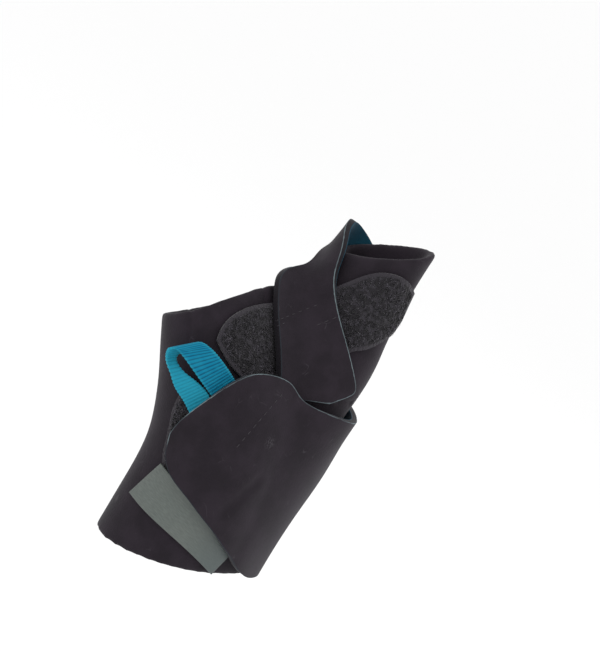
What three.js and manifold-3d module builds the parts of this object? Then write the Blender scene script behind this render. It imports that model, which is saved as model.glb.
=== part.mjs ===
// A thumb spica splint in its worn form, for the right side: a neoprene sleeve with a palm tube and a thumb
// tube, a thumb strap that winds between them, a broad wrist strap with a ribbon pull, and the loop and hook
// patches that hold both straps. Millimetres, +Z from the cuff to the palm edge, +X to the thumb tube,
// -Y to the palm side, origin at the middle of the wrist.
import * as THREE from "three";
import Module from "manifold-3d";
import { mergeVertices } from "three/addons/utils/BufferGeometryUtils.js";

const wasm = await Module();
wasm.setup();

// Driving sizes of the inner form that the splint is shaped on: a palm tube and a thumb tube
const wristWidth = 60;
const wristDepth = 43;
const palmWidth = 84;
const thumbWidth = 25.5;
const thumbDepth = 22;
const palmRise = 90;
const thumbRise = 98;
const dorsalLean = 40;
const ulnarLean = 6;
const webFillet = 8;

// Driving sizes of the splint
const sleeveWall = 3;
const strapWall = 2.5;
const pileWall = 1.2;
const hookWall = 0.8;
const ribbonWall = 0.9;
const labelWall = 0.8;
const seat = 0.55;
const cuffDrop = 33;
const cuffTilt = 0.218;
const cuffTiltTurn = THREE.MathUtils.degToRad(-55);
const thumbRimTilt = 0.66;
const thumbRimBackTilt = 0.12;
const thumbFoot = 0;
const thumbHollowFoot = 2;
const wristStrapRise = 40;
const wristStrapDrop = 28;

// Palm tube sections: level is a share of palmRise above the wrist, width and depth are shares of
// wristWidth and wristDepth, ulnar and dorsal are shares of the two leans.
const palmSections = [
  { level: -0.6, width: 1.03, depth: 1.02, ulnar: 0.35, dorsal: 0.01 },
  { level: -0.3, width: 1.0, depth: 1.01, ulnar: 0.36, dorsal: 0.015 },
  { level: 0.0, width: 1.0, depth: 1.0, ulnar: 0.42, dorsal: 0.04 },
  { level: 0.2, width: 1.13, depth: 1.06, ulnar: 0.42, dorsal: 0.14 },
  { level: 0.4, width: 1.28, depth: 1.04, ulnar: 0.5, dorsal: 0.35 },
  { level: 0.6, width: 1.36, depth: 0.94, ulnar: 0.65, dorsal: 0.6 },
  { level: 0.8, width: 1.38, depth: 0.8, ulnar: 0.8, dorsal: 0.88 },
  { level: 1.0, width: 1.38, depth: 0.74, ulnar: 1.0, dorsal: 1.18 },
  { level: 1.3, width: 1.34, depth: 0.7, ulnar: 1.3, dorsal: 1.6 },
];

// Thumb tube sections: level is a share of thumbRise, width and depth shares of thumbWidth and thumbDepth,
// radial and palmar are shares of wristWidth and wristDepth from the wrist's middle.
const thumbSections = [
  { level: -0.1, width: 1.0, depth: 1.1, radial: 0.14, palmar: 0.06 },
  { level: 0.1, width: 1.13, depth: 1.45, radial: 0.16, palmar: 0.08 },
  { level: 0.3, width: 1.19, depth: 1.6, radial: 0.18, palmar: 0.06 },
  { level: 0.4, width: 1.22, depth: 1.56, radial: 0.195, palmar: 0.045 },
  { level: 0.5, width: 1.3, depth: 1.5, radial: 0.21, palmar: 0.03 },
  { level: 0.6, width: 1.28, depth: 1.36, radial: 0.23, palmar: 0.015 },
  { level: 0.7, width: 1.16, depth: 1.2, radial: 0.25, palmar: 0.0 },
  { level: 0.9, width: 1.02, depth: 1.02, radial: 0.28, palmar: -0.02 },
  { level: 1.1, width: 1.0, depth: 1.0, radial: 0.31, palmar: -0.03 },
  { level: 1.3, width: 1.0, depth: 1.0, radial: 0.34, palmar: -0.04 },
];
const thumbTurn = THREE.MathUtils.degToRad(-55);
const ovalPower = 2.2;

// Steps and passes of the shaping
const tiny = 1e-6;
const mergeReach = 1e-4;
const slopeStep = 0.5;
const normalStep = 0.4;
const settlePasses = 6;
const castPasses = 14;
const overrun = 3;
const palmRound = 40;
const palmLevels = 16;
const thumbRound = 28;
const thumbLevels = 14;

// A smooth curve through one column of a table, at any level
function column(rows, name, level) {
  const last = rows.length - 1;
  let i = 0;
  while (i < last - 1 && rows[i + 1].level < level) i += 1;
  const [a, b] = [rows[i], rows[i + 1]];
  const before = rows[Math.max(i - 1, 0)];
  const after = rows[Math.min(i + 2, last)];
  const span = b.level - a.level;
  const t = THREE.MathUtils.clamp((level - a.level) / span, -1, 2);
  const slopeA = (span * (b[name] - before[name])) / (b.level - before.level);
  const slopeB = (span * (after[name] - a[name])) / (after.level - a.level);
  if (t < 0) return a[name] + slopeA * t;
  if (t > 1) return b[name] + slopeB * (t - 1);
  const [t2, t3] = [t * t, t * t * t];
  return (
    a[name] * (2 * t3 - 3 * t2 + 1) +
    slopeA * (t3 - 2 * t2 + t) +
    b[name] * (3 * t2 - 2 * t3) +
    slopeB * (t3 - t2)
  );
}

function palmSection(z) {
  const level = z / palmRise;
  return {
    x: -ulnarLean * column(palmSections, "ulnar", level),
    y: dorsalLean * column(palmSections, "dorsal", level),
    a: (wristWidth * column(palmSections, "width", level)) / 2,
    b: (wristDepth * column(palmSections, "depth", level)) / 2,
    turn: 0,
  };
}

function thumbSection(z) {
  const level = z / thumbRise;
  return {
    x: wristWidth * column(thumbSections, "radial", level),
    y: -wristDepth * column(thumbSections, "palmar", level),
    a: (thumbWidth * column(thumbSections, "width", level)) / 2,
    b: (thumbDepth * column(thumbSections, "depth", level)) / 2,
    turn: thumbTurn,
  };
}

// How far a point lies outside an oval section, measured in the section's own level
function outsideSection(section, x, y) {
  const [c, s] = [Math.cos(section.turn), Math.sin(section.turn)];
  const u = Math.abs((x - section.x) * c + (y - section.y) * s) + tiny;
  const w = Math.abs((y - section.y) * c - (x - section.x) * s) + tiny;
  const sum = (u / section.a) ** ovalPower + (w / section.b) ** ovalPower;
  const rho = sum ** (1 / ovalPower);
  const du = (u / section.a) ** (ovalPower - 1) / section.a;
  const dw = (w / section.b) ** (ovalPower - 1) / section.b;
  return ((rho - 1) * rho ** (ovalPower - 1)) / Math.hypot(du, dw);
}

// The same, measured square to the leaning wall of the tube
function outsideTube(sectionAt, p) {
  const here = outsideSection(sectionAt(p.z), p.x, p.y);
  const above = outsideSection(sectionAt(p.z + slopeStep), p.x, p.y);
  const below = outsideSection(sectionAt(p.z - slopeStep), p.x, p.y);
  return here / Math.hypot(1, (above - below) / (2 * slopeStep));
}

// Distance outside both tubes together, with a fillet in the web between them
function outsideForm(p) {
  const palm = outsideTube(palmSection, p);
  const thumb = outsideTube(thumbSection, p);
  const near = Math.max(webFillet - Math.abs(palm - thumb), 0) / webFillet;
  return Math.min(palm, thumb) - (near * near * webFillet) / 4;
}

function formNormal(p) {
  const h = normalStep;
  const at = (x, y, z) => outsideForm(new THREE.Vector3(p.x + x, p.y + y, p.z + z));
  const across = at(h, 0, 0) - at(-h, 0, 0);
  const back = at(0, h, 0) - at(0, -h, 0);
  const up = at(0, 0, h) - at(0, 0, -h);
  return new THREE.Vector3(across, back, up);
}

// Moves a point square to the form until it lies at the given distance outside it
function settle(p, distance) {
  const q = p.clone();
  for (let i = 0; i < settlePasses; i += 1) {
    const normal = formNormal(q).normalize();
    q.addScaledVector(normal, distance - outsideForm(q));
  }
  return q;
}

// A closed solid from rings of points, each ring once round, with a fan over each end
function loftRings(rings) {
  const points = rings.flat();
  const round = rings[0].length;
  const faces = [];
  for (let j = 0; j < rings.length - 1; j += 1) {
    for (let i = 0; i < round; i += 1) {
      const [a, b] = [j * round + i, j * round + ((i + 1) % round)];
      faces.push(a, b, b + round, a, b + round, a + round);
    }
  }
  for (const [start, flip] of [[0, true], [(rings.length - 1) * round, false]]) {
    const middle = new THREE.Vector3();
    for (let i = 0; i < round; i += 1) middle.addScaledVector(points[start + i], 1 / round);
    points.push(middle);
    for (let i = 0; i < round; i += 1) {
      const [a, b] = [start + i, start + ((i + 1) % round)];
      if (flip) faces.push(points.length - 1, b, a);
      else faces.push(points.length - 1, a, b);
    }
  }
  return new THREE.BufferGeometry().setFromPoints(points).setIndex(faces);
}

function solidOf(geometry) {
  const bare = new THREE.BufferGeometry().setAttribute("position", geometry.getAttribute("position"));
  bare.setIndex(geometry.index);
  const merged = mergeVertices(bare, mergeReach);
  return new wasm.Manifold(
    new wasm.Mesh({
      numProp: 3,
      vertProperties: new Float32Array(merged.attributes.position.array),
      triVerts: new Uint32Array(merged.index.array),
    }),
  );
}

function geometryOf(solid) {
  const mesh = solid.getMesh();
  const positions = new Float32Array(mesh.numVert * 3);
  for (let i = 0; i < mesh.numVert; i += 1) {
    positions.set(mesh.vertProperties.subarray(i * mesh.numProp, i * mesh.numProp + 3), i * 3);
  }
  return new THREE.BufferGeometry()
    .setAttribute("position", new THREE.BufferAttribute(positions, 3))
    .setIndex(new THREE.BufferAttribute(mesh.triVerts, 1));
}

// Heights of the sleeve's three rims, by the turn round their tube
function cuffHeight(angle) {
  const s = palmSection(-cuffDrop);
  const x = s.x + s.a * Math.cos(angle);
  const y = s.y + s.b * Math.sin(angle);
  return -cuffDrop + cuffTilt * (x * Math.cos(cuffTiltTurn) + y * Math.sin(cuffTiltTurn));
}

const palmEdgeWrap = 345;
const palmEdge = [
  { level: -60, rise: 0.8 },
  { level: -20, rise: 0.8 },
  { level: 20, rise: 0.75 },
  { level: 55, rise: 0.62 },
  { level: 90, rise: 0.5 },
  { level: 125, rise: 0.45 },
  { level: 160, rise: 0.48 },
  { level: 198, rise: 0.57 },
  { level: 225, rise: 0.67 },
  { level: 252, rise: 0.76 },
  { level: 280, rise: 0.8 },
  { level: 320, rise: 0.81 },
  { level: 360, rise: 0.79 },
];

function palmHeight(angle) {
  const turn = ((THREE.MathUtils.radToDeg(angle) % 360) + 360) % 360;
  return palmRise * column(palmEdge, "rise", turn > palmEdgeWrap ? turn - 360 : turn);
}

function thumbHeight(angle) {
  const s = thumbSection(thumbRise);
  const across = s.a * Math.cos(angle);
  const back = s.b * Math.sin(angle);
  return thumbRise + thumbRimTilt * across + thumbRimBackTilt * back;
}

function ringAt(sectionAt, distance, round, heightAt) {
  const ring = [];
  for (let i = 0; i < round; i += 1) {
    const angle = (i / round) * Math.PI * 2;
    const z = heightAt(angle);
    const s = sectionAt(z);
    const [ca, sa] = [Math.cos(angle), Math.sin(angle)];
    const shape = (Math.abs(ca) ** ovalPower + Math.abs(sa) ** ovalPower) ** (-1 / ovalPower);
    const u = (s.a + distance) * ca * shape;
    const w = (s.b + distance) * sa * shape;
    const [c, d] = [Math.cos(s.turn), Math.sin(s.turn)];
    ring.push(new THREE.Vector3(s.x + u * c - w * d, s.y + u * d + w * c, z));
  }
  return ring;
}

function tube(sectionAt, distance, round, levels, low, high, past) {
  const rings = [];
  for (let j = 0; j <= levels; j += 1) {
    const share = j / levels;
    rings.push(
      ringAt(sectionAt, distance, round, (angle) => {
        const [from, to] = [low(angle) - past, high(angle) + past];
        return from + (to - from) * share;
      }),
    );
  }
  return solidOf(loftRings(rings));
}

// Both tubes joined, less the hollow of both, with every point drawn to the form or to the wall's outside
function sleeve() {
  const outer = tube(palmSection, sleeveWall, palmRound, palmLevels, cuffHeight, palmHeight, 0).add(
    tube(thumbSection, sleeveWall, thumbRound, thumbLevels, () => thumbFoot, thumbHeight, 0),
  );
  const inner = tube(palmSection, 0, palmRound, palmLevels, cuffHeight, palmHeight, overrun).add(
    tube(thumbSection, 0, thumbRound, thumbLevels, () => thumbHollowFoot, thumbHeight, overrun),
  );
  const shell = geometryOf(outer.subtract(inner));
  const position = shell.getAttribute("position");
  const p = new THREE.Vector3();
  for (let i = 0; i < position.count; i += 1) {
    p.fromBufferAttribute(position, i);
    const sharp = Math.min(outsideTube(palmSection, p), outsideTube(thumbSection, p));
    const q = settle(p, sharp > sleeveWall / 2 ? sleeveWall : 0);
    position.setXYZ(i, q.x, q.y, q.z);
  }
  return shell;
}

// The straps and patches, each laid on the sleeve over what was laid before it
const spotReach = 5.4;
const coverSlope = 1;
const rimClear = 3;
const easePasses = 3;
const laid = [];

// The top of the sleeve above the form, or the bare form past its rims
function sleeveTop(p) {
  const onThumb = outsideTube(thumbSection, p) < outsideTube(palmSection, p);
  const section = onThumb ? thumbSection(p.z) : palmSection(p.z);
  const angle = Math.atan2(p.y - section.y, p.x - section.x) - section.turn;
  const edge = onThumb ? thumbHeight(angle) : palmHeight(angle);
  return p.z < edge + rimClear ? sleeveWall : 0;
}

// How far above the form the underside of a new layer lies
function restingHeight(p) {
  const foot = settle(p, 0);
  let height = sleeveTop(foot) + seat;
  for (const spot of laid) {
    const away = Math.max(spot.point.distanceTo(foot) - spotReach, 0);
    height = Math.max(height, spot.top + seat - coverSlope * away);
  }
  return height;
}

// A grid of points between two edges, from one end of a layer to the other
function gridBetween(edgesAt, along, across) {
  const grid = [];
  for (let i = 0; i <= along; i += 1) {
    const [from, to] = edgesAt(i / along);
    const row = [];
    for (let j = 0; j <= across; j += 1) row.push(from.clone().lerp(to, j / across));
    grid.push(row);
  }
  return grid;
}

// A closed slab from its under and upper grids
function slab(under, upper) {
  const [along, across] = [under.length, under[0].length];
  const points = [...under.flat(), ...upper.flat()];
  const top = along * across;
  const at = (i, j) => i * across + j;
  const faces = [];
  const quad = (a, b, c, d) => faces.push(a, b, c, a, c, d);
  for (let i = 0; i < along - 1; i += 1) {
    for (let j = 0; j < across - 1; j += 1) {
      quad(at(i, j), at(i, j + 1), at(i + 1, j + 1), at(i + 1, j));
      quad(top + at(i, j), top + at(i + 1, j), top + at(i + 1, j + 1), top + at(i, j + 1));
    }
    quad(at(i, 0), at(i + 1, 0), top + at(i + 1, 0), top + at(i, 0));
    quad(at(i, across - 1), top + at(i, across - 1), top + at(i + 1, across - 1), at(i + 1, across - 1));
  }
  for (let j = 0; j < across - 1; j += 1) {
    quad(at(0, j), top + at(0, j), top + at(0, j + 1), at(0, j + 1));
    quad(at(along - 1, j), at(along - 1, j + 1), top + at(along - 1, j + 1), top + at(along - 1, j));
  }
  let volume = 0;
  const normal = new THREE.Vector3();
  for (let f = 0; f < faces.length; f += 3) {
    normal.crossVectors(points[faces[f + 1]], points[faces[f + 2]]);
    volume += points[faces[f]].dot(normal);
  }
  if (volume < 0) faces.reverse();
  return new THREE.BufferGeometry().setFromPoints(points).setIndex(faces);
}

// Neoprene and tape bend gently over an edge below: each height takes its highest neighbour's, then they
// even out without sinking, and once more freely
function eased(heights) {
  const near = (rows, i, j) =>
    rows.slice(Math.max(i - 1, 0), i + 2).flatMap((row) => row.slice(Math.max(j - 1, 0), j + 2));
  const mean = (values) => values.reduce((sum, value) => sum + value, 0) / values.length;
  let result = heights.map((row, i) => row.map((_, j) => Math.max(...near(heights, i, j))));
  for (let pass = 0; pass < easePasses; pass += 1) {
    const before = result;
    result = before.map((row, i) => row.map((_, j) => Math.max(mean(near(before, i, j)), heights[i][j])));
  }
  return result.map((row, i) => row.map((_, j) => mean(near(result, i, j))));
}

function layer(grid, wall) {
  const heights = eased(grid.map((row) => row.map(restingHeight)));
  const under = grid.map((row, i) => row.map((p, j) => settle(p, heights[i][j])));
  const upper = under.map((row, i) => row.map((p, j) => settle(p, heights[i][j] + wall)));
  grid.forEach((row, i) =>
    row.forEach((p, j) => laid.push({ point: settle(p, 0), top: heights[i][j] + wall })),
  );
  return slab(under, upper);
}

// A point over the sleeve at a turn round the palm tube and a height above the wrist
function pointRound(turn, z) {
  const section = palmSection(z);
  const angle = THREE.MathUtils.degToRad(turn);
  const out = new THREE.Vector3(Math.cos(angle), Math.sin(angle), 0);
  const p = new THREE.Vector3(section.x, section.y, z).addScaledVector(out, section.b);
  for (let i = 0; i < castPasses; i += 1) p.addScaledVector(out, sleeveWall - outsideForm(p));
  return p;
}

// Edges of a layer from a table of turns and heights, and from a table of places as shares of the sizes
function edgesRound(rows, rise, drop) {
  const high = (level) => {
    const share = column(rows, "high", level);
    return share * (share > 0 ? rise : drop);
  };
  const low = (level) => {
    const share = column(rows, "low", level);
    return share * (share > 0 ? rise : drop);
  };
  return (level) => [
    pointRound(column(rows, "highTurn", level), high(level)),
    pointRound(column(rows, "lowTurn", level), low(level)),
  ];
}

function edgesOver(rows) {
  const place = (level, x, y, z) =>
    new THREE.Vector3(
      palmWidth * column(rows, x, level),
      wristDepth * column(rows, y, level),
      thumbRise * column(rows, z, level),
    );
  return (level) => [place(level, "palmX", "palmY", "palmZ"), place(level, "thumbX", "thumbY", "thumbZ")];
}

// The pile patch at the foot of the thumb tube: palm is its edge to the palm rim, thumb the one to the cuff
const thumbPileRows = [
  { level: 0.0, palmX: -0.49, palmY: 0.07, palmZ: 0.475, thumbX: -0.47, thumbY: 0.0, thumbZ: 0.455 },
  { level: 0.06, palmX: -0.47, palmY: 0.125, palmZ: 0.53, thumbX: -0.43, thumbY: -0.055, thumbZ: 0.425 },
  { level: 0.15, palmX: -0.41, palmY: 0.145, palmZ: 0.59, thumbX: -0.37, thumbY: -0.145, thumbZ: 0.4 },
  { level: 0.27, palmX: -0.31, palmY: 0.16, palmZ: 0.635, thumbX: -0.285, thumbY: -0.25, thumbZ: 0.39 },
  { level: 0.38, palmX: -0.21, palmY: 0.165, palmZ: 0.66, thumbX: -0.19, thumbY: -0.35, thumbZ: 0.41 },
  { level: 0.5, palmX: -0.11, palmY: 0.1, palmZ: 0.725, thumbX: -0.095, thumbY: -0.42, thumbZ: 0.47 },
  { level: 0.62, palmX: -0.02, palmY: 0.01, palmZ: 0.79, thumbX: -0.01, thumbY: -0.42, thumbZ: 0.57 },
  { level: 0.72, palmX: 0.02, palmY: -0.08, palmZ: 0.86, thumbX: 0.055, thumbY: -0.38, thumbZ: 0.64 },
  { level: 0.8, palmX: 0.055, palmY: -0.17, palmZ: 0.925, thumbX: 0.115, thumbY: -0.41, thumbZ: 0.665 },
  { level: 0.88, palmX: 0.115, palmY: -0.28, palmZ: 0.96, thumbX: 0.18, thumbY: -0.415, thumbZ: 0.715 },
  { level: 0.95, palmX: 0.185, palmY: -0.35, palmZ: 0.96, thumbX: 0.24, thumbY: -0.4, thumbZ: 0.755 },
  { level: 1.0, palmX: 0.255, palmY: -0.35, palmZ: 0.925, thumbX: 0.275, thumbY: -0.37, thumbZ: 0.81 },
];

// The pile patch that the wrist strap lands on
const wristPileRows = [
  { level: 0.0, highTurn: 181, high: 0.42, lowTurn: 181, low: 0.06 },
  { level: 0.1, highTurn: 185, high: 0.6, lowTurn: 184, low: -0.1 },
  { level: 0.3, highTurn: 197, high: 0.74, lowTurn: 196, low: -0.24 },
  { level: 0.6, highTurn: 224, high: 0.78, lowTurn: 224, low: -0.34 },
  { level: 1.0, highTurn: 262, high: 0.76, lowTurn: 262, low: -0.44 },
];

// The thumb strap, from its free end under the wrist strap, through the web between the tubes and down the
// back: palm is its edge on the palm side, thumb its edge on the thumb side
const thumbStrapRows = [
  { level: 0.0, palmX: -0.19, palmY: -0.35, palmZ: 0.39, thumbX: 0.0, thumbY: -0.53, thumbZ: 0.45 },
  { level: 0.03, palmX: -0.22, palmY: -0.29, palmZ: 0.4, thumbX: 0.065, thumbY: -0.55, thumbZ: 0.5 },
  { level: 0.08, palmX: -0.215, palmY: -0.26, palmZ: 0.45, thumbX: 0.085, thumbY: -0.55, thumbZ: 0.53 },
  { level: 0.15, palmX: -0.225, palmY: -0.135, palmZ: 0.52, thumbX: 0.045, thumbY: -0.475, thumbZ: 0.595 },
  { level: 0.22, palmX: -0.235, palmY: 0.0, palmZ: 0.6, thumbX: 0.0, thumbY: -0.325, thumbZ: 0.68 },
  { level: 0.3, palmX: -0.23, palmY: 0.16, palmZ: 0.69, thumbX: -0.03, thumbY: -0.125, thumbZ: 0.77 },
  { level: 0.36, palmX: -0.2, palmY: 0.27, palmZ: 0.75, thumbX: -0.03, thumbY: 0.01, thumbZ: 0.84 },
  { level: 0.42, palmX: -0.11, palmY: 0.37, palmZ: 0.78, thumbX: -0.02, thumbY: 0.11, thumbZ: 0.93 },
  { level: 0.48, palmX: 0.03, palmY: 0.43, palmZ: 0.785, thumbX: 0.08, thumbY: 0.23, thumbZ: 1.0 },
  { level: 0.54, palmX: 0.16, palmY: 0.49, palmZ: 0.81, thumbX: 0.15, thumbY: 0.37, thumbZ: 1.03 },
  { level: 0.6, palmX: 0.31, palmY: 0.54, palmZ: 0.79, thumbX: 0.3, thumbY: 0.34, thumbZ: 0.98 },
  { level: 0.66, palmX: 0.42, palmY: 0.6, palmZ: 0.71, thumbX: 0.4, thumbY: 0.16, thumbZ: 0.88 },
  { level: 0.73, palmX: 0.45, palmY: 0.6, palmZ: 0.6, thumbX: 0.42, thumbY: 0.02, thumbZ: 0.75 },
  { level: 0.81, palmX: 0.43, palmY: 0.56, palmZ: 0.47, thumbX: 0.41, thumbY: -0.05, thumbZ: 0.57 },
  { level: 0.9, palmX: 0.37, palmY: 0.5, palmZ: 0.3, thumbX: 0.39, thumbY: -0.06, thumbZ: 0.36 },
  { level: 1.0, palmX: 0.31, palmY: 0.46, palmZ: 0.13, thumbX: 0.38, thumbY: -0.06, thumbZ: 0.15 },
];
const thumbHookSpan = { from: 0.03, to: 0.14, inset: 0.1 };

// The wrist strap, from its rounded tongue on the palm side round the thumb side to its seam on the back
const wristStrapRows = [
  { level: 0.0, highTurn: 188.5, high: 0.31, lowTurn: 188.3, low: 0.13 },
  { level: 0.03, highTurn: 191.5, high: 0.44, lowTurn: 190, low: 0.05 },
  { level: 0.07, highTurn: 198, high: 0.62, lowTurn: 195, low: -0.08 },
  { level: 0.12, highTurn: 208, high: 0.85, lowTurn: 206, low: -0.21 },
  { level: 0.17, highTurn: 217, high: 0.98, lowTurn: 217, low: -0.35 },
  { level: 0.22, highTurn: 226, high: 1.02, lowTurn: 229, low: -0.48 },
  { level: 0.27, highTurn: 236, high: 1.025, lowTurn: 240, low: -0.61 },
  { level: 0.32, highTurn: 246, high: 1.005, lowTurn: 250, low: -0.7 },
  { level: 0.37, highTurn: 255, high: 0.98, lowTurn: 258, low: -0.78 },
  { level: 0.43, highTurn: 266, high: 0.965, lowTurn: 269, low: -0.87 },
  { level: 0.5, highTurn: 284, high: 1.02, lowTurn: 290, low: -0.97 },
  { level: 0.58, highTurn: 310, high: 1.0, lowTurn: 312, low: -1.0 },
  { level: 0.75, highTurn: 360, high: 0.96, lowTurn: 360, low: -1.0 },
  { level: 1.0, highTurn: 438, high: 0.86, lowTurn: 438, low: -0.96 },
];
const wristHookSpan = { from: 0.03, to: 0.22, inset: 0.1 };

// The label strip tucked under the wrist strap's lower edge
const labelRows = [
  { level: 0.0, highTurn: 184, high: -0.06, lowTurn: 173, low: -0.64 },
  { level: 0.5, highTurn: 214, high: -0.26, lowTurn: 211, low: -0.79 },
  { level: 1.0, highTurn: 258, high: -0.68, lowTurn: 251, low: -1.05 },
];

// The part of a layer's outline that a hook tab covers, drawn in from both edges
function spanOf(edgesAt, span) {
  return (share) => {
    const [from, to] = edgesAt(span.from + (span.to - span.from) * share);
    return [from.clone().lerp(to, span.inset), to.clone().lerp(from, span.inset)];
  };
}

// The ribbon pull: out along one leg, over at the tip and back along the other. Turns round the palm for its
// two long edges, heights as shares of the wrist strap's rise, lift as ribbon walls above what lies below.
const ribbonRows = [
  { level: 0.0, upperTurn: 218, upper: 0.84, lowerTurn: 209, lower: 0.63, upperLift: 0.0, lowerLift: 0.0 },
  { level: 0.1, upperTurn: 213, upper: 0.9, lowerTurn: 203.5, lower: 0.71, upperLift: 0.3, lowerLift: 0.3 },
  { level: 0.25, upperTurn: 206, upper: 0.985, lowerTurn: 196, lower: 0.81, upperLift: 1.5, lowerLift: 1.7 },
  { level: 0.38, upperTurn: 199.5, upper: 1.055, lowerTurn: 188.5, lower: 0.93, upperLift: 2.5, lowerLift: 4.0 },
  { level: 0.46, upperTurn: 196, upper: 1.07, lowerTurn: 187, lower: 0.955, upperLift: 2.2, lowerLift: 6.0 },
  { level: 0.5, upperTurn: 193, upper: 1.05, lowerTurn: 184.5, lower: 0.94, upperLift: 1.1, lowerLift: 6.5 },
  { level: 0.54, upperTurn: 188.5, upper: 0.97, lowerTurn: 183.5, lower: 0.905, upperLift: 0.2, lowerLift: 6.0 },
  { level: 0.58, upperTurn: 184, upper: 0.89, lowerTurn: 182.5, lower: 0.87, upperLift: 0.0, lowerLift: 5.0 },
  { level: 0.62, upperTurn: 183, upper: 0.835, lowerTurn: 182, lower: 0.82, upperLift: 0.0, lowerLift: 4.0 },
  { level: 0.68, upperTurn: 187, upper: 0.79, lowerTurn: 183, lower: 0.74, upperLift: 0.0, lowerLift: 2.6 },
  { level: 0.76, upperTurn: 193.5, upper: 0.77, lowerTurn: 185, lower: 0.645, upperLift: 0.0, lowerLift: 1.4 },
  { level: 0.84, upperTurn: 198.5, upper: 0.74, lowerTurn: 189, lower: 0.585, upperLift: 0.0, lowerLift: 0.5 },
  { level: 0.92, upperTurn: 202.5, upper: 0.69, lowerTurn: 192.5, lower: 0.52, upperLift: 0.0, lowerLift: 0.0 },
  { level: 1.0, upperTurn: 206, upper: 0.61, lowerTurn: 197, lower: 0.43, upperLift: 0.0, lowerLift: 0.0 },
];
const ribbonSeats = 1.5;

function ribbonLoop(along, across) {
  const overPile = sleeveWall + seat + pileWall + ribbonSeats * seat;
  const middle = [];
  for (let i = 0; i <= along; i += 1) {
    const level = i / along;
    const edge = (turn, rise, lift) => {
      const height = wristStrapRise * column(ribbonRows, rise, level);
      const p = pointRound(column(ribbonRows, turn, level), height);
      return settle(p, overPile + ribbonWall * (0.5 + column(ribbonRows, lift, level)));
    };
    const [from, to] = [edge("upperTurn", "upper", "upperLift"), edge("lowerTurn", "lower", "lowerLift")];
    const row = [];
    for (let j = 0; j <= across; j += 1) row.push(from.clone().lerp(to, j / across));
    middle.push(row);
  }
  const side = (sign) =>
    middle.map((row, i) =>
      row.map((p, j) => {
        const tangent = middle[Math.min(i + 1, along)][j].clone().sub(middle[Math.max(i - 1, 0)][j]);
        const width = row[across].clone().sub(row[0]);
        const normal = tangent.cross(width).normalize();
        return p.clone().addScaledVector(normal, (sign * ribbonWall) / 2);
      }),
    );
  const [under, upper] = [side(1), side(-1)];
  for (const row of [...under, ...upper]) {
    for (const p of row) laid.push({ point: settle(p, 0), top: outsideForm(p) });
  }
  return slab(under, upper);
}

const neoprene = new THREE.MeshStandardMaterial({ color: 0x302b2f, roughness: 0.82, metalness: 0 });
const pile = new THREE.MeshStandardMaterial({ color: 0x26222b, roughness: 1, metalness: 0 });
const hook = new THREE.MeshStandardMaterial({ color: 0x232226, roughness: 0.6, metalness: 0 });
const ribbon = new THREE.MeshStandardMaterial({ color: 0x097699, roughness: 0.6, metalness: 0 });
const satin = new THREE.MeshStandardMaterial({ color: 0x676f6b, roughness: 0.45, metalness: 0 });

const splint = new THREE.Group();
function addPiece(name, geometry, material) {
  const mesh = new THREE.Mesh(geometry, material);
  mesh.name = name;
  splint.add(mesh);
}

const thumbStrapEdges = edgesOver(thumbStrapRows);
const wristStrapEdges = edgesRound(wristStrapRows, wristStrapRise, wristStrapDrop);
const wristPileEdges = edgesRound(wristPileRows, wristStrapRise, wristStrapDrop);
const labelEdges = edgesRound(labelRows, wristStrapRise, wristStrapDrop);

// Each laid piece in the order in which it is put on, with its grid of steps along and across
addPiece("sleeve", sleeve(), neoprene);
const laidPieces = [
  {
    name: "thumb_pile_patch",
    edges: edgesOver(thumbPileRows),
    along: 22,
    across: 8,
    wall: pileWall,
    finish: pile,
  },
  { name: "wrist_pile_patch", edges: wristPileEdges, along: 12, across: 6, wall: pileWall, finish: pile },
  {
    name: "thumb_hook_tab",
    edges: spanOf(thumbStrapEdges, thumbHookSpan),
    along: 4,
    across: 5,
    wall: hookWall,
    finish: hook,
  },
  { name: "thumb_strap", edges: thumbStrapEdges, along: 40, across: 8, wall: strapWall, finish: neoprene },
  { name: "label", edges: labelEdges, along: 12, across: 3, wall: labelWall, finish: satin },
  { name: "pull_loop", along: 36, across: 2, finish: ribbon },
  {
    name: "wrist_hook_tab",
    edges: spanOf(wristStrapEdges, wristHookSpan),
    along: 10,
    across: 6,
    wall: hookWall,
    finish: hook,
  },
  { name: "wrist_strap", edges: wristStrapEdges, along: 44, across: 9, wall: strapWall, finish: neoprene },
];
for (const { name, edges, along, across, wall, finish } of laidPieces) {
  const shape = edges ? layer(gridBetween(edges, along, across), wall) : ribbonLoop(along, across);
  addPiece(name, shape, finish);
}

export default splint;
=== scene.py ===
# %% [markdown]
# A thumb spica splint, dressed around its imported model. The real thing is cut from neoprene: a sheet of
# foam with a dark knitted jersey on the outside and a petrol coloured lining inside. A sleeve has a wide
# tube for the wrist and a narrow tube for the thumb, and two straps of the same sheet wrap over it and land
# on patches of loop pile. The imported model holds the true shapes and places, and this lesson gives each
# piece its surface.

import math

import bmesh
import bpy
import numpy as np
from mathutils import Matrix, Vector
from mathutils.bvhtree import BVHTree
from mathutils.kdtree import KDTree


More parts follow.
